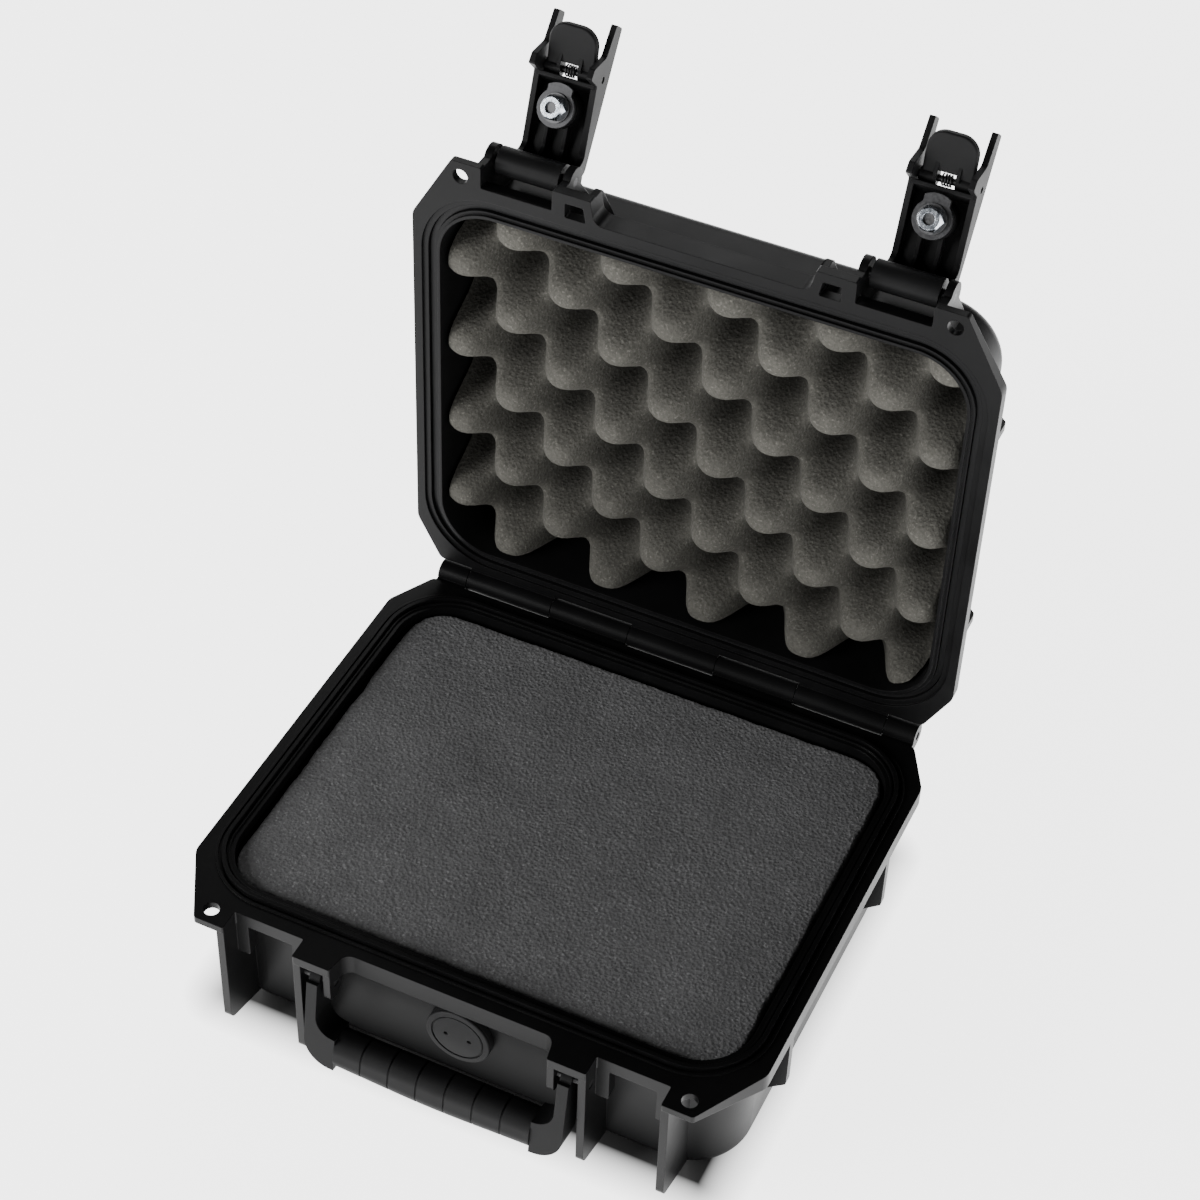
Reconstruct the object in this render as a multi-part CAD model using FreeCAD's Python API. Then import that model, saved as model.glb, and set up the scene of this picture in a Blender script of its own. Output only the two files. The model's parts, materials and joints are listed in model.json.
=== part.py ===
"""Small hard equipment case, lid open, with latches, key locks, carry handle, vent valve and foam.

Frame: origin at the centre of the tub's underside, +Z up, +X to the right, front at -Y.
Most pieces are drawn in the rim frame: its Z is the distance from the plane where lid and
base meet, positive into the half being drawn. put_on_base and put_on_lid place them.
Latch pieces are drawn closed about their own pivot: -Z along the arm, -Y outwards.
"""
import FreeCAD
import Part
import math
import os

V = FreeCAD.Vector
X_AXIS = V(1, 0, 0)
Z_AXIS = V(0, 0, 1)

# Sizes of the two halves, mm
BASE_H = 70.0
LID_H = 44.0
FLOOR = 3.5
WALL = 3.0
DRAFT = 1.0
OPEN_X = 120.0
OPEN_Y = 95.2
OPEN_R = 25.0
BASE_EDGE_R = 6.0
LID_EDGE_R = 8.0

# Flange round the rim
FLANGE_T = 3.5
FLANGE_X = 133.0
FLANGE_REAR = 107.7
SIDE_REAR = 85.6
SIDE_FRONT = -87.7
REAR_X = 121.0
TAB_X = 114.5
TAB_IN_X = 100.5
FRONT_Y = -120.0
LATCH_BACK_Y = -110.0
BOSS_X = 67.5
BOSS_IN_X = 50.0
HANDLE_BACK_Y = -109.0
SKIRT_T = 3.0
BASE_SKIRT = 8.7
LID_SKIRT = 6.0
LATCH_LIP = 7.0
HANDLE_LIP = 10.5
BOSS_CAP = 4.8
LEG_W = 6.0
LEG_H = 25.0
PADLOCK_X = 110.0
PADLOCK_Y = -113.0
PADLOCK_R = 3.5

# Fins and ribs
FIN_T = 3.5
FIN_BOTTOM = 58.0
RIB_Y = 54.5
RIB_T = 4.0
RIB_X = 131.0
RIB_H = 45.0

# Seal: offsets outwards from the opening
TONGUE_AT = 4.6
TONGUE_W = 1.8
TONGUE_H = 2.2
RIDGE_H = 0.8
OUTER_RIDGE_AT = 7.6
INNER_RIDGE_AT = 2.5
SEAL_ZONE_IN = 1.4
SEAL_ZONE_OUT = 8.8
SEAL_ZONE_DEPTH = 1.2
GROOVE_W = 3.0
GROOVE_DEPTH = 4.2
GASKET_T = 1.3

# Hinge
HINGE_Y = 114.8
KNUCKLE_R = 5.5
ROD_R = 2.0
ROD_END_X = 119.0
SPLITS = (22.0, 61.5, 105.0, 120.0)
LID_OPEN = 90.5

# Fits, radial
STATIC_FIT = 0.02
RUNNING_FIT = 0.06
SIDE_GAP = 0.3

# Latches: (down, out) places are measured from the pivot
LATCH_X = 84.0
LATCH_W = 29.2
PIVOT_Y = -115.5
PIVOT_H = 15.5
PIVOT_R = 2.0
LUG_R = 6.5
BARREL_R = 6.3
LATCH_OPEN = 138.0
LATCH_WALL = 2.6
LATCH_SKIN = 2.7
ARM_TILT = 15.7
ARM_TOP = (9.3, 20.8)
ARM_END = (41.5, 11.75)
CROSSBAR_AT = 39.3
LOCK_AT = (31.6, 14.7)
LOCK_R = 6.0
LOCK_BOSS = 11.0
CAM_AT = 12.8
CAM_T = 2.0
CAM_R = 8.4
CAM_REACH = 10.6
CAM_HALF_W = 5.6
NUT_AT = 15.7
NUT_T = 4.7
STUD_R = 2.5
TRIGGER_AT = (45.0, 3.5)
TRIGGER_TILT = 38.0
TRIGGER_PIN_R = 1.5

# Handle
HANDLE_PIVOT_Y = -114.5
HANDLE_PIVOT_H = 13.0
HANDLE_TILT = 9.0
HANDLE_OUT_X = 60.5
HANDLE_ARM_T = 5.0
HANDLE_DEPTH = 8.0
HANDLE_WIDE = 13.0
ARM_STEP = -17.0
HANDLE_DROP = 44.0
GRIP_X = 46.0
GRIP_TOP = 27.0
GRIP_DEPTH = 15.0
GRIP_BOW = 2.0
GROOVES = 6
GROOVE_SINK = 0.5

# Vent valve
VALVE_H = 36.5
VALVE_R = 15.0
VALVE_STEM_R = 8.5

# Foam
FOAM_INSET = 2.0
FOAM_TOP = 3.0
PAD_T = 8.0
EGG_TOP = 2.5


# ---------------------------------------------------------------- helpers

def rounded_wire(points, z=0.0):
    """Closed wire through (x, y, radius) corners at height z."""
    corners = []
    count = len(points)
    for i, (x, y, radius) in enumerate(points):
        here = V(x, y, z)
        back = V(points[i - 1][0], points[i - 1][1], z) - here
        ahead = V(points[(i + 1) % count][0], points[(i + 1) % count][1], z) - here
        back.normalize()
        ahead.normalize()
        if radius == 0:
            corners.append((here, None, here))
            continue
        half = back.getAngle(ahead) / 2
        reach = radius / math.tan(half)
        inward = back + ahead
        inward.normalize()
        middle = here + inward * (radius / math.sin(half) - radius)
        corners.append((here + back * reach, middle, here + ahead * reach))
    edges = []
    for i, (start, middle, end) in enumerate(corners):
        if middle is not None:
            edges.append(Part.Arc(start, middle, end).toShape())
        following = corners[(i + 1) % count][0]
        if end.distanceToPoint(following) > 1e-6:
            edges.append(Part.LineSegment(end, following).toShape())
    return Part.Wire(edges)


def slab(points, z0, z1):
    """Plate with a rounded outline, from z0 to z1."""
    return Part.Face(rounded_wire(points, z0)).extrude(V(0, 0, z1 - z0))


def prism_x(points, x0, x1):
    """Section of (y, z, radius) corners, drawn out along X."""
    solid = slab(points, 0, x1 - x0)
    solid.Placement = FreeCAD.Placement(FreeCAD.Matrix(0, 0, 1, x0, 1, 0, 0, 0, 0, 1, 0, 0, 0, 0, 0, 1))
    return solid


def prism_y(points, y0, y1):
    """Section of (x, z, radius) corners, drawn out along Y."""
    solid = slab(points, 0, y1 - y0)
    solid.Placement = FreeCAD.Placement(FreeCAD.Matrix(1, 0, 0, 0, 0, 0, -1, y1, 0, 1, 0, 0, 0, 0, 0, 1))
    return solid


def box(x0, x1, y0, y1, z0, z1):
    return Part.makeBox(x1 - x0, y1 - y0, z1 - z0, V(x0, y0, z0))


def rod_x(x0, x1, y, z, radius):
    return Part.makeCylinder(radius, x1 - x0, V(x0, y, z), X_AXIS)


def rod_y(y0, y1, x, z, radius):
    return Part.makeCylinder(radius, y1 - y0, V(x, y0, z), V(0, 1, 0))


def join(shapes):
    """One solid from several that touch."""
    return shapes[0].multiFuse(shapes[1:]).removeSplitter()


def mirrored(shape):
    """The same shape on the other side of the X = 0 plane."""
    return shape.mirror(V(0, 0, 0), X_AXIS)


def both_sides(shapes):
    return shapes + [mirrored(s) for s in shapes]


def round_edges(shape, radius, test):
    """Fillet of the edges that pass the test."""
    return shape.makeFillet(radius, [e for e in shape.Edges if test(e.BoundBox)])


def put_on_base(shape):
    """From the rim frame to the base."""
    placed = shape.mirror(V(0, 0, 0), Z_AXIS)
    placed.translate(V(0, 0, BASE_H))
    return placed


def put_on_lid(shape):
    """From the rim frame to the lid, turned open."""
    placed = shape.copy()
    placed.translate(V(0, 0, BASE_H))
    placed.rotate(V(0, HINGE_Y, BASE_H), X_AXIS, -LID_OPEN)
    return placed


def put_on_latch(shape, side):
    """From the latch frame to the open latch on the open lid; side is -1 or 1."""
    placed = shape.copy()
    placed.rotate(V(0, 0, 0), X_AXIS, -LATCH_OPEN)
    placed.translate(V(side * LATCH_X, PIVOT_Y, PIVOT_H))
    return put_on_lid(placed)


def put_on_handle(shape):
    """From the handle frame, pivot at the origin and grip below it, to the hanging handle."""
    placed = shape.copy()
    placed.rotate(V(0, 0, 0), X_AXIS, -HANDLE_TILT)
    placed.translate(V(0, HANDLE_PIVOT_Y, BASE_H - HANDLE_PIVOT_H))
    return placed


def opening_points(offset):
    """Rounded rectangle that lies offset outside the opening."""
    x = OPEN_X + offset
    y = OPEN_Y + offset
    r = OPEN_R + offset
    return [(x, y, r), (-x, y, r), (-x, -y, r), (x, -y, r)]


def opening_ring(inner, outer, z0, z1):
    return slab(opening_points(outer), z0, z1).cut(slab(opening_points(inner), z0 - 1, z1 + 1))


def drafted(offset, draft, z0, z1, edge_radius):
    """Rounded block that narrows by draft towards z1, with its far edge rounded."""
    wires = [rounded_wire(opening_points(offset), z0), rounded_wire(opening_points(offset - draft), z1)]
    block = Part.makeLoft(wires, True, True)
    return round_edges(block, edge_radius, lambda b: b.ZMin > z1 - 0.01)


# ---------------------------------------------------------------- features that both halves share

def flange_points(inset=0.0):
    """Outline of the flange, drawn in by inset all round."""
    tab_x = TAB_X - 0.6 * inset
    right = [
        (REAR_X - 0.6 * inset, FLANGE_REAR - inset, 4.0),
        (FLANGE_X - inset, SIDE_REAR - 0.3 * inset, 8.0),
        (FLANGE_X - inset, SIDE_FRONT + 0.3 * inset, 8.0),
        (tab_x, FRONT_Y + inset, 2.0),
        (TAB_IN_X + inset, FRONT_Y + inset, 0.8),
        (TAB_IN_X + inset, LATCH_BACK_Y + inset, 0.8),
        (BOSS_X - inset, LATCH_BACK_Y + inset, 0.8),
        (BOSS_X - inset, FRONT_Y + inset, 0.8),
        (BOSS_IN_X + inset, FRONT_Y + inset, 0.8),
        (BOSS_IN_X - 2.0 + inset, HANDLE_BACK_Y + inset, 5.0),
    ]
    left = [(-x, y, r) for x, y, r in reversed(right)]
    return right + left


def rim_band(height, x0, x1, y0, y1):
    """Stretch of the skirt under the flange's edge, within a rectangle seen from above."""
    outer = slab(flange_points(), 0, height)
    inner = slab(flange_points(SKIRT_T), -1, height + 1)
    return outer.cut(inner).common(box(x0, x1, y0, y1, 0, height))


def side_skirt(height):
    """Skirt at the sides and rear, shallower along the front corners."""
    band = rim_band(height, -FLANGE_X - 1, FLANGE_X + 1, FRONT_Y - 1, FLANGE_REAR + 1)
    below = height + 1
    ramp = [
        (SIDE_FRONT, height, 0),
        (FRONT_Y, FLANGE_T, 0),
        (FRONT_Y - 2, FLANGE_T, 0),
        (FRONT_Y - 2, below, 0),
        (SIDE_FRONT, below, 0),
    ]
    corners_only = box(-TAB_IN_X, TAB_IN_X, FRONT_Y - 1, -OPEN_Y, FLANGE_T, below)
    return band.cut(prism_x(ramp, -FLANGE_X - 2, FLANGE_X + 2)).cut(corners_only)


def front_lips(latch_lip):
    """Deeper skirts behind the handle and behind each latch, and the handle bosses' caps."""
    back = HANDLE_BACK_Y + SKIRT_T
    pieces = [rim_band(HANDLE_LIP, -BOSS_IN_X, BOSS_IN_X, FRONT_Y - 1, back)]
    side = [rim_band(latch_lip, BOSS_X, TAB_IN_X, LATCH_BACK_Y - 1, LATCH_BACK_Y + SKIRT_T)]
    cap = slab(flange_points(), 0, BOSS_CAP)
    side.append(cap.common(box(BOSS_IN_X, BOSS_X, FRONT_Y, -OPEN_Y, 0, BOSS_CAP)))
    return pieces + both_sides(side)


def side_rib(y, height, wall_reach):
    """Rib down a side wall, with a sloped foot."""
    section = [
        (OPEN_X + 1, 1, 0),
        (RIB_X, 1, 0),
        (RIB_X, height, 2.0),
        (OPEN_X + 1, height + wall_reach, 0),
    ]
    return prism_y(section, y - RIB_T / 2, y + RIB_T / 2)


def padlock_holes():
    hole = Part.makeCylinder(PADLOCK_R, BASE_SKIRT + 2, V(PADLOCK_X, PADLOCK_Y, -1))
    return both_sides([hole])


def padlock_pad():
    """Flat plate round a padlock hole, clear of the skirt."""
    return slab(flange_points(), 0, FLANGE_T).common(box(TAB_IN_X, TAB_X + 4, FRONT_Y, -OPEN_Y, 0, FLANGE_T))


def knuckle(x0, x1):
    """Hinge knuckle with its arm to the flange."""
    arm = prism_x([(FLANGE_REAR - 3, 0.3, 0), (HINGE_Y, 0.3, 0), (HINGE_Y, KNUCKLE_R, 0),
                   (FLANGE_REAR - 3, KNUCKLE_R + 0.5, 0)], x0, x1)
    return rod_x(x0, x1, HINGE_Y, 0, KNUCKLE_R).fuse(arm)


def knuckle_runs(spans):
    """Knuckles on both sides for spans given as boundaries along +X."""
    return both_sides([knuckle(a + SIDE_GAP / 2, b - SIDE_GAP / 2) for a, b in spans])


# ---------------------------------------------------------------- base

def front_fin(x0, x1):
    """Long fin under the front flange."""
    section = [
        (-OPEN_Y + 1, 1, 0),
        (FRONT_Y + 0.3, 1, 0),
        (FRONT_Y + 0.3, FIN_BOTTOM + 3, 4.5),
        (-OPEN_Y + 1, FIN_BOTTOM + 10, 0),
    ]
    return prism_x(section, x0, x1)


def handle_leg():
    """Short inner ear of a handle boss."""
    section = [
        (-OPEN_Y - 9, 1, 0),
        (FRONT_Y + 0.3, 1, 0),
        (FRONT_Y + 0.3, 20.5, 3.0),
        (FRONT_Y + 6.5, 22, 3.0),
        (-OPEN_Y - 9, 10.5, 0),
    ]
    return prism_x(section, BOSS_IN_X, BOSS_IN_X + 3.2)


def latch_legs():
    """Two short posts that end the lip under each latch."""
    back = LATCH_BACK_Y + LEG_W
    legs = []
    for x0 in (BOSS_X, TAB_IN_X - LEG_W):
        post = prism_y([(x0, 0, 0), (x0 + LEG_W, 0, 0), (x0 + LEG_W, LEG_H, 1.0), (x0, LEG_H, 1.0)],
                       LATCH_BACK_Y, back)
        legs.append(post)
    return legs


def base_shell():
    body = drafted(WALL, DRAFT, 0, BASE_H, BASE_EDGE_R)
    side = [
        front_fin(BOSS_X - FIN_T, BOSS_X),
        front_fin(TAB_IN_X, TAB_IN_X + FIN_T),
        handle_leg(),
        side_rib(RIB_Y, RIB_H, 8.5),
        side_rib(-RIB_Y, RIB_H, 8.5),
        padlock_pad(),
    ] + latch_legs()
    pieces = [body, slab(flange_points(), 0, FLANGE_T), side_skirt(BASE_SKIRT)]
    pieces += front_lips(LATCH_LIP) + both_sides(side)
    pieces += knuckle_runs([(SPLITS[0], SPLITS[1]), (SPLITS[2], SPLITS[3])])
    shell = join(pieces)
    shell = shell.cut(drafted(0, DRAFT, -1, BASE_H - FLOOR, 5.0))
    for at, width, height in ((OUTER_RIDGE_AT, 1.2, RIDGE_H), (TONGUE_AT, TONGUE_W, TONGUE_H),
                              (INNER_RIDGE_AT, 1.0, RIDGE_H)):
        shell = shell.fuse(opening_ring(at - width / 2, at + width / 2, -height, 0.5))
    cuts = padlock_holes()
    cuts.append(rod_x(-ROD_END_X - 2, ROD_END_X + 2, HINGE_Y, 0, ROD_R + STATIC_FIT))
    cuts.append(rod_x(-BOSS_X - 1, BOSS_X + 1, HANDLE_PIVOT_Y, HANDLE_PIVOT_H, PIVOT_R + STATIC_FIT))
    cuts.append(rod_y(-OPEN_Y - 8, -OPEN_Y + 5, 0, VALVE_H, VALVE_STEM_R + STATIC_FIT))
    return shell.cut(cuts).removeSplitter()


def base_foam(z0, z1, edge_radius):
    """Foam sheet that fills the tub between two depths below the rim."""
    block = slab(opening_points(-FOAM_INSET), z0, z1)
    if edge_radius:
        block = round_edges(block, edge_radius, lambda b: b.ZMin > z1 - 0.01)
    room = 2.5
    return block.cut(rod_y(-OPEN_Y - 1, -OPEN_Y + 9, 0, VALVE_H, VALVE_STEM_R + 3 + room))


# ---------------------------------------------------------------- vent valve, drawn in the rim frame

def valve_parts():
    """Flanged body, sealing ring, membrane, front cap and inside nut, all on one axis along Y."""
    wall_y = -OPEN_Y - WALL + DRAFT * VALVE_H / BASE_H
    seat_y = wall_y - 0.3
    face_y = wall_y - 4.4
    hollow_r = VALVE_STEM_R - 2.5
    body = rod_y(face_y + 1.6, seat_y, 0, VALVE_H, VALVE_R)
    body = body.fuse(rod_y(wall_y - 1, wall_y + 8, 0, VALVE_H, VALVE_STEM_R))
    body = body.cut(rod_y(face_y, wall_y + 9, 0, VALVE_H, hollow_r))
    ring_mid = VALVE_STEM_R + 2.6
    ring = Part.makeTorus(ring_mid, 0.9, V(0, seat_y - 0.92, VALVE_H), V(0, 1, 0))
    body = body.cut(rod_y(seat_y - 1.86, seat_y, 0, VALVE_H, ring_mid + 1.1).cut(
        rod_y(seat_y - 2, seat_y + 1, 0, VALVE_H, ring_mid - 1.1)))
    membrane = rod_y(face_y + 1.7, face_y + 2.1, 0, VALVE_H, hollow_r - 0.1)
    cap = rod_y(face_y, face_y + 1.5, 0, VALVE_H, VALVE_R)
    cap = round_edges(cap, 0.7, lambda b: b.YMax < face_y + 0.01)
    cap = cap.cut(rod_y(face_y - 1, face_y + 0.6, 0, VALVE_H, VALVE_R - 2.6))
    cap = cap.fuse(rod_y(face_y + 0.1, face_y + 1, 0, VALVE_H, VALVE_R - 3.4))
    for side in (-1, 1):
        cap = cap.cut(rod_y(face_y - 1, face_y + 1.1, side * 5.5, VALVE_H, 1.0))
    nut = hexagon_y(VALVE_STEM_R + 3, wall_y + WALL + 0.3, wall_y + WALL + 4.8, VALVE_H)
    nut = nut.cut(rod_y(wall_y, wall_y + 10, 0, VALVE_H, VALVE_STEM_R + STATIC_FIT))
    return {"valve_body": body, "valve_o_ring": ring, "valve_membrane": membrane,
            "valve_cap": cap, "valve_nut": nut}


def hexagon_y(radius, y0, y1, z):
    """Hexagonal prism along Y, radius to its corners."""
    turns = [k * math.pi / 3 for k in range(6)]
    corners = [(radius * math.cos(turn), z + radius * math.sin(turn), 0) for turn in turns]
    return prism_y(corners, y0, y1)


# ---------------------------------------------------------------- lid

def latch_lug(x0, x1):
    """Ear that holds one end of a latch pin."""
    section = [
        (-OPEN_Y + 1, 0.5, 0),
        (FRONT_Y + 1, 0.5, 0),
        (FRONT_Y + 1, PIVOT_H, 2.0),
        (-OPEN_Y - 1.5, PIVOT_H + 17, 0),
        (-OPEN_Y + 1, PIVOT_H + 17, 0),
    ]
    return prism_x(section, x0, x1).fuse(rod_x(x0, x1, PIVOT_Y, PIVOT_H, LUG_R))


def boss_pocket():
    """Four-sided hole down through a boss beside the latch."""
    depth = HANDLE_LIP + 2
    points = [(53.2, -115.5, 0.8), (61.5, -115.5, 0.8), (61.5, -108.5, 0.8), (51.8, -108.5, 0.8)]
    return slab(points, -1, depth)


def lid_shell():
    body = drafted(WALL, DRAFT * 1.5, 0, LID_H, LID_EDGE_R)
    side = [
        latch_lug(BOSS_X - FIN_T, BOSS_X),
        latch_lug(TAB_IN_X, TAB_IN_X + FIN_T),
        side_rib(RIB_Y, 22, 8.5),
        side_rib(-RIB_Y, 22, 8.5),
        padlock_pad(),
        prism_x([(-OPEN_Y + 1, 1, 0), (FRONT_Y + 1, 1, 0), (FRONT_Y + 1, 12, 3), (-OPEN_Y - 1, 26, 0),
                 (-OPEN_Y + 1, 26, 0)], BOSS_IN_X, BOSS_IN_X + 3),
    ]
    pieces = [body, slab(flange_points(), 0, FLANGE_T), side_skirt(LID_SKIRT)]
    pieces.append(opening_ring(1, SEAL_ZONE_OUT, 0, GROOVE_DEPTH + 2))
    pieces += front_lips(LID_SKIRT) + both_sides(side)
    pieces += knuckle_runs([(SPLITS[1], SPLITS[2])])
    pieces.append(knuckle(-SPLITS[0] + SIDE_GAP / 2, SPLITS[0] - SIDE_GAP / 2))
    shell = join(pieces)
    cuts = padlock_holes() + both_sides([boss_pocket()])
    cuts.append(drafted(0, DRAFT, -1, LID_H - FLOOR, 6.0))
    cuts.append(opening_ring(SEAL_ZONE_IN, SEAL_ZONE_OUT, -1, SEAL_ZONE_DEPTH))
    cuts.append(opening_ring(TONGUE_AT - GROOVE_W / 2, TONGUE_AT + GROOVE_W / 2, -1, GROOVE_DEPTH))
    cuts.append(rod_x(-ROD_END_X - 2, ROD_END_X + 2, HINGE_Y, 0, ROD_R + RUNNING_FIT))
    for side in (-1, 1):
        start = side * LATCH_X - 21
        cuts.append(rod_x(start, start + 42, PIVOT_Y, PIVOT_H, PIVOT_R + STATIC_FIT))
    panel = slab(opening_points(-22), LID_H - 1.2, LID_H + 1)
    return shell.cut(cuts + [panel]).removeSplitter()


def lid_gasket():
    width = GROOVE_W - 0.4
    return opening_ring(TONGUE_AT - width / 2, TONGUE_AT + width / 2,
                        GROOVE_DEPTH - GASKET_T - 0.05, GROOVE_DEPTH - 0.05)


def lid_foam():
    depth = LID_H - FLOOR - 0.2
    block = slab(opening_points(-FOAM_INSET), EGG_TOP, depth)
    return round_edges(block, 8.0, lambda b: b.ZMin > depth - 0.01)


# ---------------------------------------------------------------- latch pieces, in the latch frame

def along(points):
    """Section corners given as (distance down the arm, distance outwards, radius)."""
    return [(-out, -down, r) for down, out, r in points]


def latch_wall(x0, x1):
    """One side wall: bowed root, tooth that hooks under the base's leg, and prong."""
    section = along([
        (1.5, 3.0, 0),
        (3.6, 8.5, 2.0),
        (12.0, 15.0, 4.0),
        (40.9, -0.6, 0.8),
        (40.9, -9.0, 0.8),
        (45.5, -9.3, 1.2),
        (53.5, -1.2, 2.5),
        (67.5, -2.6, 1.0),
        (68.6, 4.2, 1.2),
        (ARM_TOP[0], ARM_TOP[1], 5.0),
        (-1.5, 15.5, 6.0),
        (-4.5, 3.0, 0),
    ])
    return prism_x(section, x0, x1)


def latch_skin(half):
    """Outer face of the arm, from the barrel to the thumb opening."""
    section = along([
        (-4.5, 3.0, 0),
        (-1.5, 15.5, 6.0),
        (ARM_TOP[0], ARM_TOP[1], 5.0),
        (ARM_END[0], ARM_END[1], 0.6),
        (ARM_END[0], ARM_END[1] - LATCH_SKIN, 0),
        (ARM_TOP[0] + 0.3, ARM_TOP[1] - LATCH_SKIN, 3.0),
        (1.2, 13.9, 3.5),
        (-1.5, 3.0, 0),
    ])
    return prism_x(section, -half, half)


def inner_rib(x0, x1):
    """Long rib between the barrel and the lock."""
    section = along([
        (1.5, 3.0, 0),
        (3.6, 7.8, 2.0),
        (12.0, 14.2, 4.0),
        (24.0, 8.0, 0),
        (24.0, 15.0, 0),
        (9.5, 19.0, 2.0),
        (0.5, 14.8, 3.0),
        (-1.5, 3.0, 0),
    ])
    return prism_x(section, x0, x1)


def crossbar(half):
    section = along([
        (CROSSBAR_AT, -0.4, 0.5),
        (CROSSBAR_AT + 2, -0.9, 0.5),
        (CROSSBAR_AT + 2, ARM_END[1] - 1, 0),
        (CROSSBAR_AT, ARM_END[1] - 1, 0),
    ])
    return prism_x(section, -half, half)


def put_on_lock(shape):
    """From the lock frame, +Y inwards from the arm's outer face, to the latch frame."""
    placed = shape.copy()
    placed.rotate(V(0, 0, 0), X_AXIS, ARM_TILT)
    placed.translate(V(0, -LOCK_AT[1], -LOCK_AT[0]))
    return placed


def latch_body():
    half = LATCH_W / 2
    inside = half - LATCH_WALL
    pieces = [rod_x(-half, half, 0, 0, BARREL_R), latch_skin(half), crossbar(half - 1)]
    pieces += both_sides([latch_wall(inside, half), inner_rib(3.6, 5.2)])
    pieces.append(put_on_lock(rod_y(0.4, LOCK_BOSS, 0, 0, LOCK_R + 2.4)))
    body = join(pieces)
    thumb_cut = prism_x(along([(ARM_END[0], -30, 0), (80, -30, 0), (80, 30, 0), (ARM_END[0], 30, 0)]),
                        -inside, inside)
    cuts = [
        thumb_cut,
        rod_x(-half - 1, half + 1, 0, 0, PIVOT_R + RUNNING_FIT),
        rod_x(-half - 1, half + 1, -TRIGGER_AT[1], -TRIGGER_AT[0], TRIGGER_PIN_R + STATIC_FIT),
        put_on_lock(rod_y(-2, LOCK_BOSS + 1, 0, 0, LOCK_R + RUNNING_FIT)),
        put_on_lock(rod_y(-2, 1.2, 0, 0, LOCK_R + 1.5)),
    ]
    return body.cut(cuts).removeSplitter()


def put_on_trigger(shape):
    """From the trigger frame, pin at the origin and pad towards -Z, to the latch frame."""
    placed = shape.copy()
    placed.rotate(V(0, 0, 0), X_AXIS, TRIGGER_TILT)
    placed.translate(V(0, -TRIGGER_AT[1], -TRIGGER_AT[0]))
    return placed


def trigger():
    """Thumb pad on two short barrels."""
    half = 11.0
    pad = prism_y([(-half, -2.0, 0), (half, -2.0, 0), (half, -21.0, 8.0), (-half, -21.0, 8.0)], -1.8, 1.8)
    pad = round_edges(pad, 0.9, lambda b: b.YMax - b.YMin < 0.01)
    pad = pad.cut(box(-4.0, 4.0, -4, 4, -3.9, 0))
    pieces = [pad]
    for side in (-1, 1):
        start = min(side * 4.0, side * 11.6)
        pieces.append(rod_x(start, start + 7.6, 0, 0, 3.1))
        gusset = [(0, -1, 0), (3.0, -1.5, 0), (3.4, -3.0, 0.5), (1.5, -8.5, 0), (0, -9.0, 0)]
        pieces.append(prism_x(gusset, side * 4.8 - 0.8, side * 4.8 + 0.8))
    solid = join(pieces).cut(rod_x(-13, 13, 0, 0, TRIGGER_PIN_R + RUNNING_FIT))
    return put_on_trigger(solid)


def trigger_spring():
    """Three and a half turns of wire round the trigger's pin."""
    wire_r = 0.4
    coil_r = 2.3
    pitch = 1.2
    turns = 3.5
    helix = Part.makeHelix(pitch, pitch * turns, coil_r)
    start = Part.Wire([Part.makeCircle(wire_r, V(coil_r, 0, 0), V(0, 1, 0))])
    coil = Part.Wire(helix.Edges).makePipeShell([start], True, True)
    coil.rotate(V(0, 0, 0), V(0, 1, 0), 90)
    coil.translate(V(-pitch * turns / 2, -TRIGGER_AT[1], -TRIGGER_AT[0]))
    return coil


def lock_parts():
    """Key cylinder with its threaded stud, cam, washer and nut, all turning on one axis."""
    plug = rod_y(-0.4, CAM_AT - 0.1, 0, 0, LOCK_R)
    plug = plug.fuse(rod_y(-0.4, 1.1, 0, 0, LOCK_R + 1.3))
    plug = plug.cut(box(-0.7, 0.7, -1, 4, -3.2, 3.2))
    plug = plug.fuse(rod_y(CAM_AT - 1, NUT_AT + NUT_T - 1.2, 0, 0, STUD_R))
    disc = rod_y(CAM_AT, CAM_AT + CAM_T, 0, 0, CAM_R)
    tongue = box(-CAM_HALF_W, CAM_HALF_W, CAM_AT, CAM_AT + CAM_T, -CAM_REACH, 0)
    tongue = tongue.common(rod_y(CAM_AT, CAM_AT + CAM_T, 0, 0, CAM_REACH))
    hole = rod_y(0, 30, 0, 0, STUD_R + STATIC_FIT)
    washer = rod_y(CAM_AT + CAM_T + 0.02, NUT_AT - 0.02, 0, 0, 6.4)
    crown = Part.makeCone(6.6, 4.4, NUT_T, V(0, NUT_AT, 0), V(0, 1, 0))
    nut = hexagon_y(5.8, NUT_AT, NUT_AT + NUT_T, 0).common(crown)
    found = {"lock_cylinder": plug, "lock_cam": disc.fuse(tongue).cut(hole).removeSplitter(),
             "lock_washer": washer.cut(hole), "lock_nut": nut.cut(hole)}
    return {name: put_on_lock(shape) for name, shape in found.items()}


# ---------------------------------------------------------------- handle, in its own frame

def handle_core(clearance):
    """Bar inside the grip."""
    return box(-GRIP_X - 2, GRIP_X + 2, -3 - clearance, 3 + clearance,
               -HANDLE_DROP + 5 - clearance, -GRIP_TOP - 4 + clearance)


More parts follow.
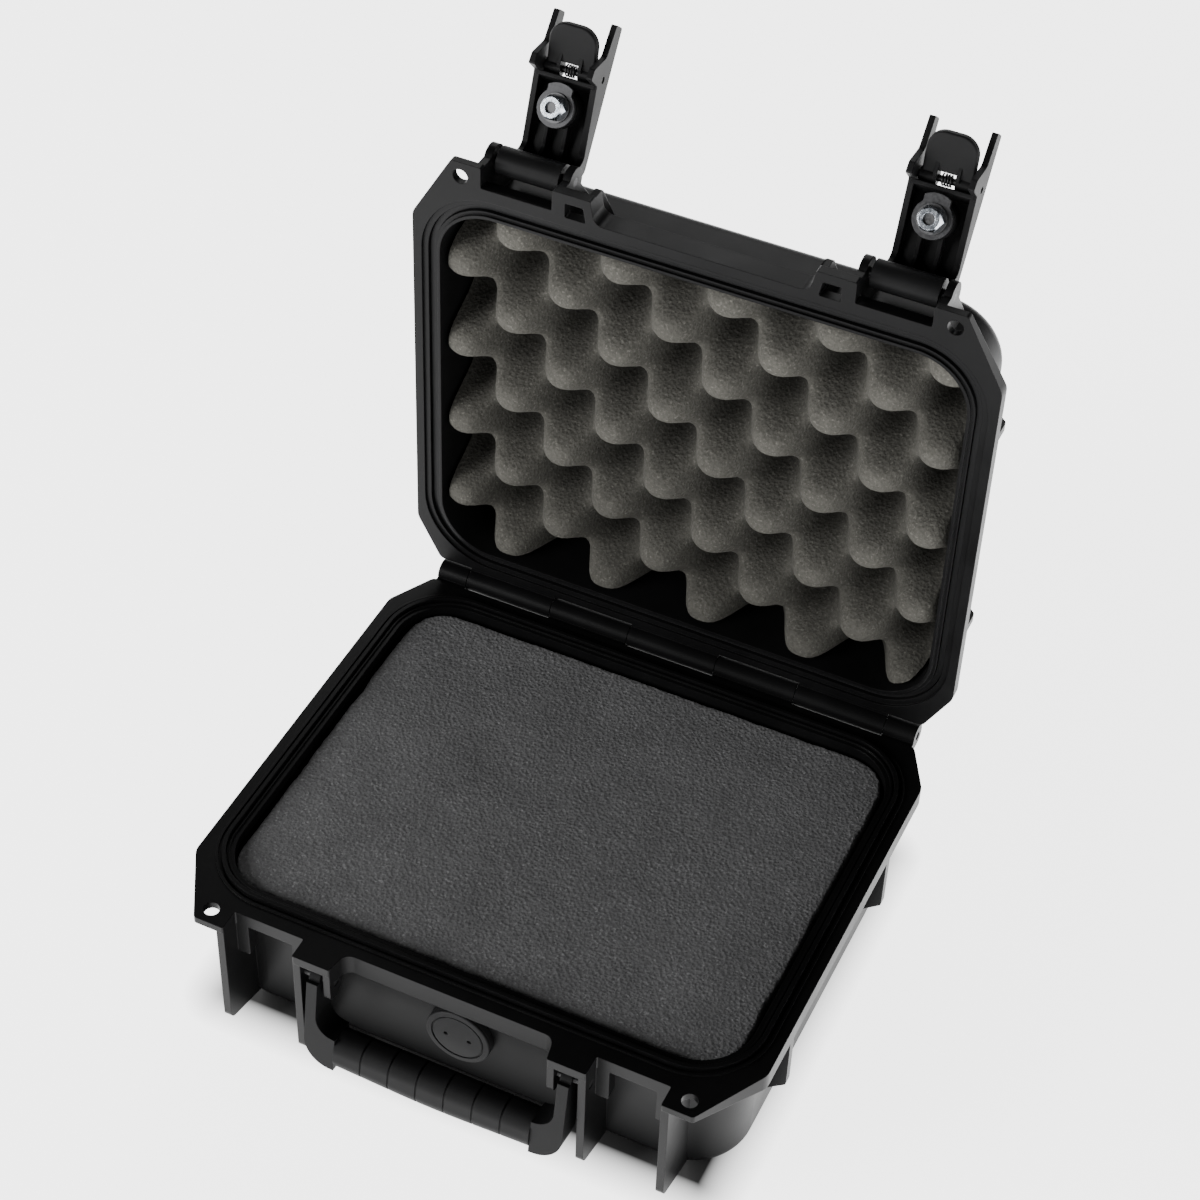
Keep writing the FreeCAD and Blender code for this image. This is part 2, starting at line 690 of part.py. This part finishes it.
def handle_frame():
    """Two arms and the corners that run into the grip."""
    arm_in = HANDLE_OUT_X - HANDLE_ARM_T
    outline = [
        (arm_in, 4.5, 3.0),
        (HANDLE_OUT_X, 4.5, 3.0),
        (HANDLE_OUT_X, -HANDLE_DROP + 0.6, 13.0),
        (GRIP_X, -HANDLE_DROP - 0.4, 0),
        (GRIP_X, -GRIP_TOP, 0),
        (arm_in, -GRIP_TOP, 9.0),
    ]
    depth = HANDLE_DEPTH / 2
    arm = prism_y(outline, -HANDLE_WIDE / 2, HANDLE_WIDE / 2)
    slim = box(arm_in - 1, HANDLE_OUT_X + 1, -20, -depth, ARM_STEP, 6)
    slim = slim.fuse(box(arm_in - 1, HANDLE_OUT_X + 1, depth, 20, ARM_STEP, 6))
    eye = rod_x(arm_in, HANDLE_OUT_X, 0, 0, 4.5)
    arm = arm.cut(slim).cut(box(arm_in - 1, HANDLE_OUT_X + 1, -20, 20, 0, 6)).fuse(eye)
    frame = join(both_sides([arm]) + [handle_core(0)])
    return frame.cut(rod_x(-BOSS_X, BOSS_X, 0, 0, PIVOT_R + RUNNING_FIT)).removeSplitter()


def grip_block(shrink, x0, x1):
    """Rounded bar with a bowed underside."""
    top = -GRIP_TOP - shrink
    low = -HANDLE_DROP + shrink
    outline = [(x0, top, 0), (x1, top, 0), (x1, low, 0), (0, low - GRIP_BOW, 400.0), (x0, low, 0)]
    half = GRIP_DEPTH / 2 - shrink
    block = prism_y(outline, -half, half)
    return round_edges(block, 6.8 - shrink, lambda b: b.XMax - b.XMin > 10 and b.YMax - b.YMin < 0.01)


def handle_grip():
    grip = grip_block(0, -GRIP_X + 0.05, GRIP_X - 0.05)
    slim = grip_block(GROOVE_SINK, -GRIP_X, GRIP_X)
    spacing = 2 * GRIP_X / (GROOVES + 1)
    for k in range(GROOVES):
        x = -GRIP_X + spacing * (k + 1)
        grip = grip.cut(box(x - 0.45, x + 0.45, -20, 20, -60, 0).cut(slim))
    return grip.cut(handle_core(0.05))


# ---------------------------------------------------------------- all pieces

def pieces():
    """Every node's shape in the case's own frame."""
    found = {}
    found["base_shell"] = put_on_base(base_shell())
    found["base_foam_block"] = put_on_base(base_foam(FOAM_TOP, BASE_H - FLOOR - PAD_T - 0.6, 0))
    found["base_foam_pad"] = put_on_base(base_foam(BASE_H - FLOOR - PAD_T - 0.3, BASE_H - FLOOR - 0.2, 6.0))
    found["hinge_rod"] = rod_x(-ROD_END_X, ROD_END_X, HINGE_Y, BASE_H, ROD_R)
    for name, shape in valve_parts().items():
        found[name] = put_on_base(shape)
    found["lid_shell"] = put_on_lid(lid_shell())
    found["lid_gasket"] = put_on_lid(lid_gasket())
    found["lid_foam"] = put_on_lid(lid_foam())
    found["handle_frame"] = put_on_handle(handle_frame())
    found["handle_grip"] = put_on_handle(handle_grip())
    latch_set = {"latch_body": latch_body(), "trigger": trigger(), "trigger_spring": trigger_spring()}
    pin_end = LATCH_W / 2 - 0.5
    latch_set["trigger_pin"] = rod_x(-pin_end, pin_end, -TRIGGER_AT[1], -TRIGGER_AT[0], TRIGGER_PIN_R)
    latch_set["latch_pin"] = rod_x(-20, 20, 0, 0, PIVOT_R)
    latch_set.update(lock_parts())
    for side, letter in ((-1, "L"), (1, "R")):
        for name, shape in latch_set.items():
            found[name + "_" + letter] = put_on_latch(shape, side)
        pin_x = min(side * BOSS_IN_X, side * BOSS_X)
        found["handle_pin_" + letter] = rod_x(pin_x + 0.2, pin_x + BOSS_X - BOSS_IN_X - 0.2, HANDLE_PIVOT_Y,
                                              BASE_H - HANDLE_PIVOT_H, PIVOT_R)
    return found


def main():
    os.makedirs("parts", exist_ok=True)
    for name, shape in pieces().items():
        solids = shape.Solids
        print(name, "solids", len(solids), "valid", shape.isValid(), "volume", round(shape.Volume))
        kept = solids[0] if len(solids) == 1 else shape
        kept.exportStep(os.path.join("parts", name + ".step"))


main()
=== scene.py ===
"""Looks of the hard equipment case: foams, materials, floor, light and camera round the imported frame."""
import json
import math

import bmesh
import bpy
from mathutils import Euler, Matrix, Vector, noise


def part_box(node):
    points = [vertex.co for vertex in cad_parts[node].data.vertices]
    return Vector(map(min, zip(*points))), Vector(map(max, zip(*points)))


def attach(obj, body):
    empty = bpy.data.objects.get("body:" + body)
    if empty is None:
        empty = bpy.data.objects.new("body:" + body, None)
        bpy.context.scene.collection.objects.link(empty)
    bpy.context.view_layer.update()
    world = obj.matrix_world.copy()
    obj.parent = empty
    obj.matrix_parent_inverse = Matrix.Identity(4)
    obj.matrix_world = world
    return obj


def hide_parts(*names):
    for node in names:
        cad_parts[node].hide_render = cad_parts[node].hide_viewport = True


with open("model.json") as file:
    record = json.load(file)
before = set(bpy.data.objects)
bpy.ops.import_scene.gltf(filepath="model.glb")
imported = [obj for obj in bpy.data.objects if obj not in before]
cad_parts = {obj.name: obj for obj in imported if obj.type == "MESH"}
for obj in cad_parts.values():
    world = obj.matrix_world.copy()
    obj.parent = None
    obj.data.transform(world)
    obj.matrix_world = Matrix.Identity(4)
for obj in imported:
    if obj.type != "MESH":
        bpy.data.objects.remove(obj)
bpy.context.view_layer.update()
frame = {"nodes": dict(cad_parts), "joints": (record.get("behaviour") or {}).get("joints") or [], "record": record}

# Camera, metres and degrees
CAMERA_AT = (0.34798, -0.75401, 1.00187)
CAMERA_TURN = (46.0376, -1.5073, 25.4211)
CAMERA_LENS = 86.01
SENSOR = 36.0

# Egg-crate foam in the shut lid's own places: depths below the rim plane, spacing and outline, metres
EGG_PITCH_X = 0.0245
EGG_PITCH_Y = 0.0220
EGG_PHASE_X = 0.0104
EGG_PHASE_Y = 0.0021
EGG_HIGH = 0.0022
EGG_LOW = 0.0320
EGG_BACK = 0.0402
EGG_HALF_X = 0.118
EGG_HALF_Y = 0.0932
EGG_STEP = 0.0022
EGG_UNEVEN = 0.0012
EGG_SHARP_FROM = 60
CREST_WIDTH = 0.8

# Foam sheets in the tub, metres
FOAM_CORNER = 0.023
BLOCK_CORNER = 0.019
FOAM_SETTLE = 0.0005
FOAM_START = 0.0003
TOP_UNEVEN = 0.0004
RAGGED_BAND = 0.004
TOP_INSETS = (0.004, 0.008, 0.014, 0.022, 0.032, 0.044, 0.058, 0.072, 0.084)
EDGE_STEPS = 5

# Waves per metre of the foams' unevenness
LONG_WAVE = 45
TEARING = 260
TOP_WAVE = 28

# Studio: the floor, its glow and the painted shadow patch at the case's foot, then the surround and its fade
# upward
FLOOR_HALF = 9.0
FLOOR_Z = -0.0002
FLOOR_GLOW = 3.6
SHADOW_PATCH_HALF = (0.112, 0.101)
SHADOW_PATCH_FADE = 0.022
HORIZON_GLOW = 1.3
HORIZON_TOP = 0.16
CEILING_FROM = 0.42
CEILING = 0.03

# Soft lights: name, place, aim, sides in metres, watts
LIGHTS = (
    ("key", (-1.5, -1.5, 0.95), (0, 0, 0.12), (1.0, 0.9), 46),
    ("fill", (1.5, -1.5, 0.7), (0, 0, 0.1), (0.9, 0.9), 6),
    ("rear", (-0.5, 1.7, 1.5), (0, 0, 0.1), (1.4, 0.5), 13),
)

joints = {j["name"]: j for j in frame["joints"]}
nodes = frame["nodes"]
hinge_at = Vector(joints["lid_hinge"]["pos_m"])
lid_angle = math.radians(joints["lid_hinge"]["range_deg"][1])
rim_z = hinge_at.z
lid_turn = Matrix.Translation(hinge_at) @ Matrix.Rotation(-lid_angle, 4, "X") @ Matrix.Translation(-hinge_at)


# ---------------------------------------------------------------- node material helpers

def new_material(name):
    material = bpy.data.materials.new(name)
    material.use_nodes = True
    tree = material.node_tree
    shader = tree.nodes["Principled BSDF"]
    return material, tree, shader


def add_node(tree, kind, **values):
    node = tree.nodes.new(kind)
    for key, value in values.items():
        if hasattr(node, key):
            setattr(node, key, value)
        else:
            node.inputs[key.replace("_", " ")].default_value = value
    return node


def noise_node(tree, scale, detail=2.0, roughness=0.5):
    """Noise in the object's own metres."""
    place = tree.nodes.get("place") or add_node(tree, "ShaderNodeTexCoord", name="place")
    texture = add_node(tree, "ShaderNodeTexNoise", Scale=scale, Detail=detail, Roughness=roughness)
    tree.links.new(place.outputs["Object"], texture.inputs["Vector"])
    return texture


def spread(tree, source, low, high, from_low=0.3, from_high=0.7):
    """A noise value stretched to the range low to high."""
    ramp = add_node(tree, "ShaderNodeMapRange")
    ramp.inputs["From Min"].default_value = from_low
    ramp.inputs["From Max"].default_value = from_high
    ramp.inputs["To Min"].default_value = low
    ramp.inputs["To Max"].default_value = high
    tree.links.new(source, ramp.inputs["Value"])
    return ramp.outputs["Result"]


def tinted(tree, source, dark, light, low=0.3, high=0.7):
    """Colour that runs from dark to light with a noise value."""
    ramp = add_node(tree, "ShaderNodeValToRGB")
    ramp.color_ramp.elements[0].position = low
    ramp.color_ramp.elements[0].color = (*dark, 1)
    ramp.color_ramp.elements[1].position = high
    ramp.color_ramp.elements[1].color = (*light, 1)
    tree.links.new(source, ramp.inputs["Fac"])
    return ramp.outputs["Color"]


def bump(tree, shader, height, strength, distance, edge=0.0):
    """Bump on the shader's normal, over rounded edges if edge is a radius."""
    node = add_node(tree, "ShaderNodeBump", Strength=strength, Distance=distance)
    tree.links.new(height, node.inputs["Height"])
    if edge:
        rounding = add_node(tree, "ShaderNodeBevel", samples=4, Radius=edge)
        tree.links.new(rounding.outputs["Normal"], node.inputs["Normal"])
    tree.links.new(node.outputs["Normal"], shader.inputs["Normal"])


# ---------------------------------------------------------------- materials

def moulded_plastic(name, dark, light, rough, shine):
    """Satin moulded plastic: faint mottle, fine spark-eroded grain and softened edges."""
    material, tree, shader = new_material(name)
    mottle = noise_node(tree, 26.0, 4.0, 0.6)
    fine = noise_node(tree, 1800.0, 3.0, 0.6)
    tree.links.new(tinted(tree, mottle.outputs["Fac"], dark, light), shader.inputs["Base Color"])
    patches = spread(tree, mottle.outputs["Fac"], rough - 0.04, rough + 0.06)
    tree.links.new(patches, shader.inputs["Roughness"])
    shader.inputs["Specular IOR Level"].default_value = shine
    bump(tree, shader, fine.outputs["Fac"], 0.35, 0.00006, 0.0005)
    return material


def foam(name, dark, light, speck, cell=620.0):
    """Open-cell foam: coarse cells, lighter specks where cell walls catch the light, and painted shade that
    darkens the hollows of the egg-crate.
    """
    material, tree, shader = new_material(name)
    place = add_node(tree, "ShaderNodeTexCoord", name="place")
    cells = add_node(tree, "ShaderNodeTexVoronoi", Scale=cell)
    tree.links.new(place.outputs["Object"], cells.inputs["Vector"])
    grain = noise_node(tree, cell, 4.0, 0.75)
    walls = noise_node(tree, cell * 1.3, 1.0, 0.5)
    broad = noise_node(tree, 45.0, 3.0, 0.6)
    colour = tinted(tree, grain.outputs["Fac"], dark, light, 0.36, 0.66)
    specks = add_node(tree, "ShaderNodeMix", data_type="RGBA")
    specks.inputs["B"].default_value = (*speck, 1)
    tree.links.new(spread(tree, walls.outputs["Fac"], 0.0, 0.75, 0.60, 0.74), specks.inputs["Factor"])
    tree.links.new(colour, specks.inputs["A"])
    # Painted shade: the colour darkens to 0.22 of itself towards the bottoms of the egg-crate hollows
    hollow_shade = add_node(tree, "ShaderNodeAttribute", attribute_name="hollow_shade")
    shadow = add_node(tree, "ShaderNodeMapRange")
    shadow.inputs["To Min"].default_value = 1.0
    shadow.inputs["To Max"].default_value = 0.22
    tree.links.new(hollow_shade.outputs["Fac"], shadow.inputs["Value"])
    # Painted shade of the hollows, times a broad random tone
    shade_and_tone = add_node(tree, "ShaderNodeMath", operation="MULTIPLY")
    tree.links.new(shadow.outputs["Result"], shade_and_tone.inputs[0])
    tree.links.new(spread(tree, broad.outputs["Fac"], 0.82, 1.0), shade_and_tone.inputs[1])
    shade = add_node(tree, "ShaderNodeMix", data_type="RGBA", blend_type="MULTIPLY")
    shade.inputs["Factor"].default_value = 1.0
    tree.links.new(specks.outputs["Result"], shade.inputs["A"])
    tree.links.new(shade_and_tone.outputs["Value"], shade.inputs["B"])
    tree.links.new(shade.outputs["Result"], shader.inputs["Base Color"])
    shader.inputs["Roughness"].default_value = 0.95
    shader.inputs["Specular IOR Level"].default_value = 0.10
    total = add_node(tree, "ShaderNodeMath", operation="ADD")
    tree.links.new(cells.outputs["Distance"], total.inputs[0])
    tree.links.new(grain.outputs["Fac"], total.inputs[1])
    bump(tree, shader, total.outputs["Value"], 0.55, 0.0007)
    return material


def soft_rubber(name, dark, light, rough):
    """Dull rubber with a faint mottle and softened edges."""
    material, tree, shader = new_material(name)
    mottle = noise_node(tree, 40.0, 3.0, 0.6)
    fine = noise_node(tree, 2600.0, 2.0, 0.6)
    tree.links.new(tinted(tree, mottle.outputs["Fac"], dark, light), shader.inputs["Base Color"])
    shader.inputs["Roughness"].default_value = rough
    shader.inputs["Specular IOR Level"].default_value = 0.09
    bump(tree, shader, fine.outputs["Fac"], 0.3, 0.00005, 0.0004)
    return material


def plated_metal(name, dark, light, rough):
    """Plated or drawn metal with faint streaks."""
    material, tree, shader = new_material(name)
    streaks = noise_node(tree, 900.0, 4.0, 0.7)
    tree.links.new(tinted(tree, streaks.outputs["Fac"], dark, light), shader.inputs["Base Color"])
    polish = spread(tree, streaks.outputs["Fac"], rough * 0.7, rough * 1.4)
    tree.links.new(polish, shader.inputs["Roughness"])
    shader.inputs["Metallic"].default_value = 1.0
    bump(tree, shader, streaks.outputs["Fac"], 0.15, 0.00003, 0.0003)
    return material


def grey(value):
    """Near-neutral grey, a touch cool."""
    return (value, value, value * 1.03)


def make_materials():
    return {
        "case_plastic": moulded_plastic("case_plastic", grey(0.004), grey(0.007), 0.36, 0.08),
        "latch_plastic": moulded_plastic("latch_plastic", grey(0.006), grey(0.010), 0.44, 0.09),
        "handle_plastic": moulded_plastic("handle_plastic", grey(0.005), grey(0.009), 0.50, 0.08),
        "valve_plastic": moulded_plastic("valve_plastic", grey(0.012), grey(0.017), 0.46, 0.12),
        "base_foam": foam("base_foam", (0.135, 0.135, 0.137), (0.185, 0.185, 0.187), (0.30, 0.30, 0.303)),
        "lid_foam": foam("lid_foam", (0.062, 0.060, 0.053), (0.095, 0.092, 0.081), (0.150, 0.145, 0.128)),
        "seal_rubber": soft_rubber("seal_rubber", grey(0.008), grey(0.011), 0.45),
        "grip_rubber": soft_rubber("grip_rubber", grey(0.005), grey(0.009), 0.56),
        "membrane": soft_rubber("membrane", grey(0.55), grey(0.65), 0.8),
        "zinc": plated_metal("zinc", (0.50, 0.55, 0.62), (0.80, 0.84, 0.90), 0.22),
        "cam_steel": plated_metal("cam_steel", (0.045, 0.045, 0.047), (0.080, 0.080, 0.082), 0.42),
        "lock_metal": plated_metal("lock_metal", (0.070, 0.070, 0.072), (0.120, 0.120, 0.122), 0.40),
        "spring_steel": plated_metal("spring_steel", (0.030, 0.030, 0.031), (0.055, 0.055, 0.056), 0.45),
        "pin_steel": plated_metal("pin_steel", (0.040, 0.040, 0.041), (0.070, 0.070, 0.071), 0.45),
    }


def dress_frame(materials):
    """Each CAD node gets the material of its slot."""
    for row in frame["record"]["subparts"]:
        mesh = nodes[row["node"]].data
        mesh.materials.clear()
        mesh.materials.append(materials[row["material_slot"]])


# ---------------------------------------------------------------- foam pieces

def finish_piece(mesh_data, name, material, body, cad_node):
    """Object from a bmesh, smooth shaded, riding on its body in place of a CAD node."""
    mesh = bpy.data.meshes.new(name)
    mesh_data.to_mesh(mesh)
    mesh_data.free()
    for face in mesh.polygons:
        face.use_smooth = True
    mesh.materials.append(material)
    piece = bpy.data.objects.new(name, mesh)
    bpy.context.scene.collection.objects.link(piece)
    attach(piece, body)
    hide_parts(cad_node)
    return piece


def rounded_outline(half_x, half_y, radius, steps=10, spacing=0.005):
    """Points round a rounded rectangle, anticlockwise from the right side's top."""
    points = []
    corners = ((1, 1, 0), (-1, 1, 90), (-1, -1, 180), (1, -1, 270))
    for sx, sy, start in corners:
        centre = Vector((sx * (half_x - radius), sy * (half_y - radius)))
        for k in range(steps + 1):
            angle = math.radians(start + 90 * k / steps)
            points.append(centre + radius * Vector((math.cos(angle), math.sin(angle))))
    dense = []
    for here, there in zip(points, points[1:] + points[:1]):
        pieces = max(1, round((there - here).length / spacing))
        dense += [here.lerp(there, k / pieces) for k in range(pieces)]
    return dense


def sheet_levels(low_z, high_z, soft_edge):
    """Inset and height of each ring of a foam sheet: straight side, rounded edge, then the flat top."""
    levels = [(0.0, low_z + FOAM_START), (0.0, (low_z + high_z) / 2)]
    for k in range(EDGE_STEPS + 1):
        angle = math.pi / 2 * k / EDGE_STEPS
        levels.append((soft_edge * (1 - math.cos(angle)), high_z - soft_edge * (1 - math.sin(angle))))
    return levels + [(inset, high_z) for inset in TOP_INSETS]


def raggedness(point, wander):
    """How far the cut edge strays inward: long waves with finer tearing on them."""
    long_wave = noise.noise(Vector((point.x * LONG_WAVE, point.y * LONG_WAVE, 3.0))) * wander
    tearing = noise.noise(Vector((point.x * TEARING, point.y * TEARING, 9.0))) * wander * 0.6
    return abs(long_wave + tearing)


def flat_foam(name, cad_node, material, corner, wander, soft_edge):
    """Foam sheet with a soft cut edge, a faintly uneven top and an irregular outline."""
    low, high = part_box(cad_node)
    half_x = (high.x - low.x) / 2
    half_y = (high.y - low.y) / 2
    middle = (low + high) / 2
    outline = rounded_outline(half_x, half_y, corner, spacing=0.003)
    mesh = bmesh.new()
    rings = []
    for inset, z in sheet_levels(low.z, high.z, soft_edge):
        ring = []
        for p in outline:
            x = p.x * (half_x - inset) / half_x
            y = p.y * (half_y - inset) / half_y
            inward = raggedness(p, wander) if inset < RAGGED_BAND else 0.0
            out = Vector((x, y)).normalized() * -inward
            on_top = z > high.z - 0.0001
            rise = noise.noise(Vector((x * TOP_WAVE, y * TOP_WAVE, 1.0))) * TOP_UNEVEN if on_top else 0.0
            ring.append(mesh.verts.new((middle.x + x + out.x, middle.y + y + out.y, z - FOAM_SETTLE + rise)))
        rings.append(ring)
    count = len(outline)
    for lower, upper in zip(rings, rings[1:]):
        for k in range(count):
            mesh.faces.new((lower[k], lower[(k + 1) % count], upper[(k + 1) % count], upper[k]))
    mesh.faces.new(list(reversed(rings[0])))
    mesh.faces.new(rings[-1])
    finish_piece(mesh, name, material, "base", cad_node)


def egg_height(x, y):
    """Depth of the egg-crate surface from the rim plane, at a place in the shut lid."""
    u = math.cos(math.pi * (x - EGG_PHASE_X) / EGG_PITCH_X)
    v = math.cos(math.pi * (y - EGG_PHASE_Y) / EGG_PITCH_Y)
    wave = u * v
    steep = wave * (1.5 - 0.5 * wave * wave)
    crested = 2 * ((steep + 1) / 2) ** CREST_WIDTH - 1
    uneven = noise.noise(Vector((x * 22, y * 22, 5.0))) * EGG_UNEVEN
    return (EGG_HIGH + EGG_LOW) / 2 - crested * (EGG_LOW - EGG_HIGH) / 2 + uneven


def store_painted_hollow_shade(piece):
    """Store how deep each point of the egg-crate surface lies, from 0 at the crests to 1 at the bottoms: the mask
    of the painted shade in the hollows.
    """
    unturn = lid_turn.inverted()
    hollow_shade = piece.data.attributes.new("hollow_shade", "FLOAT", "POINT")
    for k, vert in enumerate(piece.data.vertices):
        depth = (unturn @ vert.co).z - rim_z
        level = (depth - EGG_HIGH) / (EGG_LOW - EGG_HIGH)
        hollow_shade.data[k].value = min(1.0, max(0.0, level)) ** 1.3


def flat_grid(half_x, half_y, step):
    """Square-celled sheet on the plane z = 0."""
    mesh = bmesh.new()
    columns = round(2 * half_x / step)
    rows = round(2 * half_y / step)
    grid = []
    for j in range(rows + 1):
        y = -half_y + 2 * half_y * j / rows
        grid.append([mesh.verts.new((-half_x + 2 * half_x * i / columns, y, 0)) for i in range(columns + 1)])
    for j in range(rows):
        for i in range(columns):
            mesh.faces.new((grid[j][i], grid[j][i + 1], grid[j + 1][i + 1], grid[j + 1][i]))
    return mesh


def trim_corners(mesh, outline):
    """Cut the sheet along each short stretch of the outline's round corners."""
    for here, there in zip(outline, outline[1:] + outline[:1]):
        along = there - here
        if abs(along.x) < 1e-7 or abs(along.y) < 1e-7:
            continue
        everything = mesh.verts[:] + mesh.edges[:] + mesh.faces[:]
        bmesh.ops.bisect_plane(mesh, geom=everything, dist=1e-6, plane_co=(here.x, here.y, 0),
                               plane_no=(along.y, -along.x, 0), clear_outer=True)


def close_back(mesh, depth):
    """Straight sides from the sheet's edge to a flat back."""
    edge = [e for e in mesh.edges if e.is_boundary]
    sides = bmesh.ops.extrude_edge_only(mesh, edges=edge)["geom"]
    for vert in [g for g in sides if isinstance(g, bmesh.types.BMVert)]:
        vert.co.z = depth
    bmesh.ops.holes_fill(mesh, edges=[e for e in mesh.edges if e.is_boundary], sides=0)
    bmesh.ops.recalc_face_normals(mesh, faces=mesh.faces[:])


def egg_foam(material):
    """Convoluted foam sheet in the lid, shaped in the shut lid and then turned open with it."""
    mesh = flat_grid(EGG_HALF_X, EGG_HALF_Y, EGG_STEP)
    trim_corners(mesh, rounded_outline(EGG_HALF_X, EGG_HALF_Y, FOAM_CORNER))
    for vert in mesh.verts:
        vert.co.z = egg_height(vert.co.x, vert.co.y)
    close_back(mesh, EGG_BACK)
    for vert in mesh.verts:
        vert.co.z += rim_z
        vert.co = lid_turn @ vert.co
    piece = finish_piece(mesh, "egg_crate_foam", material, "lid", "lid_foam")
    piece.data.set_sharp_from_angle(angle=math.radians(EGG_SHARP_FROM))
    # Painted shade: stores the depth mask that darkens the foam's hollows
    store_painted_hollow_shade(piece)


# ---------------------------------------------------------------- floor, light, camera

def distance_outside(tree, half):
    """How far a floor point lies outside the rectangle with these half sides."""
    place = tree.nodes["place"]
    size = add_node(tree, "ShaderNodeVectorMath", operation="ABSOLUTE")
    tree.links.new(place.outputs["Object"], size.inputs[0])
    past = add_node(tree, "ShaderNodeVectorMath", operation="SUBTRACT")
    past.inputs[1].default_value = (*half, 1.0)
    tree.links.new(size.outputs["Vector"], past.inputs[0])
    clear = add_node(tree, "ShaderNodeVectorMath", operation="MAXIMUM")
    clear.inputs[1].default_value = (0, 0, 0)
    tree.links.new(past.outputs["Vector"], clear.inputs[0])
    length = add_node(tree, "ShaderNodeVectorMath", operation="LENGTH")
    tree.links.new(clear.outputs["Vector"], length.inputs[0])
    return length.outputs["Value"]


def make_floor():
    """Wide white table, bright enough to read as a plain pale ground, with a painted shadow at the case's foot
    where its glow fades out and its colour darkens.
    """
    mesh = bmesh.new()
    corners = ((-1, -1), (1, -1), (1, 1), (-1, 1))
    mesh.faces.new([mesh.verts.new((x * FLOOR_HALF, y * FLOOR_HALF, FLOOR_Z)) for x, y in corners])
    data = bpy.data.meshes.new("floor")
    mesh.to_mesh(data)
    mesh.free()
    material, tree, shader = new_material("pale_floor")
    grain = noise_node(tree, 8.0, 2.0, 0.5)
    pale = tinted(tree, grain.outputs["Fac"], (0.90, 0.90, 0.90), (0.92, 0.92, 0.92))
    shader.inputs["Roughness"].default_value = 0.9
    shader.inputs["Emission Color"].default_value = (1, 1, 1, 1)
    # Painted shadow: the glow fades to nothing over the case's foot
    away = distance_outside(tree, SHADOW_PATCH_HALF)
    tree.links.new(spread(tree, away, 0.0, FLOOR_GLOW, 0.0, SHADOW_PATCH_FADE), shader.inputs["Emission Strength"])
    # Painted shadow: the colour darkens to 0.10 grey over the case's foot
    shade = add_node(tree, "ShaderNodeMix", data_type="RGBA")
    shade.inputs["A"].default_value = (0.10, 0.10, 0.10, 1)
    tree.links.new(spread(tree, away, 0.0, 1.0, 0.0, SHADOW_PATCH_FADE), shade.inputs["Factor"])
    tree.links.new(pale, shade.inputs["B"])
    tree.links.new(shade.outputs["Result"], shader.inputs["Base Color"])
    data.materials.append(material)
    floor = bpy.data.objects.new("floor", data)
    bpy.context.scene.collection.objects.link(floor)


def area_light(name, at, aim, size, power):
    """Rectangular soft light at a place, aimed at a point."""
    data = bpy.data.lights.new(name, "AREA")
    data.shape = "RECTANGLE"
    data.size = size[0]
    data.size_y = size[1]
    data.energy = power
    lamp = bpy.data.objects.new(name, data)
    lamp.location = at
    lamp.rotation_euler = (Vector(aim) - Vector(at)).to_track_quat("-Z", "Y").to_euler()
    bpy.context.scene.collection.objects.link(lamp)


def make_world():
    """White surround near the horizon that fades to a dark ceiling."""
    world = bpy.data.worlds.new("studio")
    world.use_nodes = True
    tree = world.node_tree
    place = tree.nodes.new("ShaderNodeTexCoord")
    parts = tree.nodes.new("ShaderNodeSeparateXYZ")
    tree.links.new(place.outputs["Generated"], parts.inputs["Vector"])
    ramp = tree.nodes.new("ShaderNodeValToRGB")
    ramp.color_ramp.elements[0].position = HORIZON_TOP
    ramp.color_ramp.elements[0].color = (1, 1, 1, 1)
    ramp.color_ramp.elements[1].position = CEILING_FROM
    ramp.color_ramp.elements[1].color = (CEILING, CEILING, CEILING, 1)
    tree.links.new(parts.outputs["Z"], ramp.inputs["Fac"])
    tree.links.new(ramp.outputs["Color"], tree.nodes["Background"].inputs["Color"])
    tree.nodes["Background"].inputs["Strength"].default_value = HORIZON_GLOW
    bpy.context.scene.world = world


def make_lights():
    make_world()
    for name, at, aim, size, power in LIGHTS:
        area_light(name, at, aim, size, power)


def make_camera():
    """Camera at the photograph's place, turn and lens."""
    data = bpy.data.cameras.new("camera")
    data.lens = CAMERA_LENS
    data.sensor_width = SENSOR
    camera = bpy.data.objects.new("camera", data)
    camera.location = CAMERA_AT
    camera.rotation_euler = Euler([math.radians(a) for a in CAMERA_TURN], "XYZ")
    bpy.context.scene.collection.objects.link(camera)
    bpy.context.scene.camera = camera


# ---------------------------------------------------------------- main


make_camera()
materials = make_materials()
dress_frame(materials)
flat_foam("foam_block", "base_foam_block", materials["base_foam"],
          corner=BLOCK_CORNER, wander=0.0013, soft_edge=0.0016)
flat_foam("foam_pad", "base_foam_pad", materials["base_foam"],
          corner=FOAM_CORNER, wander=0.0006, soft_edge=0.0012)
egg_foam(materials["lid_foam"])
make_floor()
make_lights()
